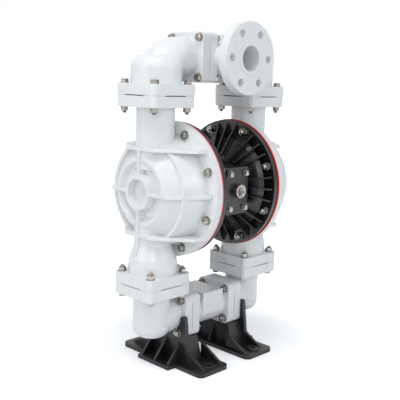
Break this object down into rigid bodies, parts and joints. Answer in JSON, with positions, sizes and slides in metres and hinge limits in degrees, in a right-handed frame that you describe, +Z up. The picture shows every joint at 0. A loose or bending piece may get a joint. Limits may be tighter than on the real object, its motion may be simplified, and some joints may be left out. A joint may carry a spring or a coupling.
{
  "type": "air operated diaphragm pump",
  "caption": "Upright air operated double diaphragm pump with flanged plastic manifolds, ball valves, an air valve between black air caps, and moulded feet.",
  "frame": {"origin": "centre of the bounding box, on the floor under the feet", "axes": "+Z up, X along the pump and diaphragm axis, -Y out of the outlet flange"},
  "size_m": [0.454, 0.32, 0.8135],
  "materials": {
    "white_polypropylene": "natural white moulded polypropylene, satin gloss, slightly translucent",
    "black_glass_filled_plastic": "black glass filled moulded plastic, semi gloss",
    "black_foot_plastic": "black moulded plastic, dull satin",
    "stainless_steel": "plain stainless steel fasteners and turned parts",
    "red_diaphragm_rubber": "orange red moulded elastomer",
    "ptfe": "white fluoropolymer, dull",
    "seat_polypropylene": "natural polypropylene, machined",
    "bronze": "turned bronze",
    "black_rubber": "black seal rubber"
  },
  "bodies": {
    "pump": {"air_cap_left": "black_glass_filled_plastic", "air_cap_right": "black_glass_filled_plastic", "air_inlet_fitting": "stainless_steel", "centre_body": "black_glass_filled_plastic", "clamp_bolts_left": "stainless_steel", "clamp_bolts_right": "stainless_steel", "clamp_nuts_left": "stainless_steel", "clamp_nuts_right": "stainless_steel", "diaphragm_left": "red_diaphragm_rubber", "diaphragm_right": "red_diaphragm_rubber", "discharge_joint_bolts": "stainless_steel", "discharge_joint_nuts": "stainless_steel", "discharge_seat_left": "seat_polypropylene", "discharge_seat_right": "seat_polypropylene", "discharge_seat_seals": "ptfe", "discharge_tee_bolts": "stainless_steel", "discharge_tee_nuts": "stainless_steel", "discharge_tee_seals": "ptfe", "exhaust_muffler": "black_glass_filled_plastic", "fluid_cap_left": "white_polypropylene", "fluid_cap_right": "white_polypropylene", "foot_left": "black_foot_plastic", "foot_right": "black_foot_plastic", "inlet_elbow_left": "white_polypropylene", "inlet_elbow_right": "white_polypropylene", "inlet_tee": "white_polypropylene", "outlet_elbow_left": "white_polypropylene", "outlet_elbow_right": "white_polypropylene", "outlet_tee": "white_polypropylene", "rod_bush_left": "bronze", "rod_bush_right": "bronze", "rod_seal_left": "black_rubber", "rod_seal_right": "black_rubber", "spool_end_caps": "black_glass_filled_plastic", "spool_sleeve": "bronze", "suction_joint_bolts": "stainless_steel", "suction_joint_nuts": "stainless_steel", "suction_seat_left": "seat_polypropylene", "suction_seat_right": "seat_polypropylene", "suction_seat_seals": "ptfe", "suction_tee_bolts": "stainless_steel", "suction_tee_nuts": "stainless_steel", "suction_tee_seals": "ptfe", "valve_cover": "black_glass_filled_plastic", "valve_cover_screws": "stainless_steel"},
    "rod": {"diaphragm_rod": "stainless_steel", "inner_washer_left": "stainless_steel", "inner_washer_right": "stainless_steel", "outer_washer_left": "seat_polypropylene", "outer_washer_right": "seat_polypropylene", "rod_screw_left": "stainless_steel", "rod_screw_right": "stainless_steel"},
    "spool": {"main_spool": "black_glass_filled_plastic"},
    "pilot": {"pilot_pin": "stainless_steel"},
    "suction_ball_left_body": {"suction_ball_left": "ptfe"},
    "suction_ball_right_body": {"suction_ball_right": "ptfe"},
    "discharge_ball_left_body": {"discharge_ball_left": "ptfe"},
    "discharge_ball_right_body": {"discharge_ball_right": "ptfe"}
  },
  "joints": [
    {"name": "rod_slide", "type": "slide", "parent": "pump", "child": "rod", "axis": [1, 0, 0], "range_m": [-0.013, 0.013], "deforming": ["diaphragm_left", "diaphragm_right"]},
    {"name": "spool_slide", "type": "slide", "parent": "pump", "child": "spool", "axis": [1, 0, 0], "range_m": [-0.005, 0.005]},
    {"name": "pilot_slide", "type": "slide", "parent": "pump", "child": "pilot", "axis": [1, 0, 0], "range_m": [-0.005, 0.005]},
    {"name": "suction_ball_left_lift", "type": "slide", "parent": "pump", "child": "suction_ball_left_body", "axis": [0, 0, 1], "range_m": [0, 0.014]},
    {"name": "suction_ball_right_lift", "type": "slide", "parent": "pump", "child": "suction_ball_right_body", "axis": [0, 0, 1], "range_m": [0, 0.014]},
    {"name": "discharge_ball_left_lift", "type": "slide", "parent": "pump", "child": "discharge_ball_left_body", "axis": [0, 0, 1], "range_m": [0, 0.014]},
    {"name": "discharge_ball_right_lift", "type": "slide", "parent": "pump", "child": "discharge_ball_right_body", "axis": [0, 0, 1], "range_m": [0, 0.014]}
  ],
  "couplings": [
    {"joint": "pilot_slide", "follows": "rod_slide", "ratio": 0.38462}
  ]
}
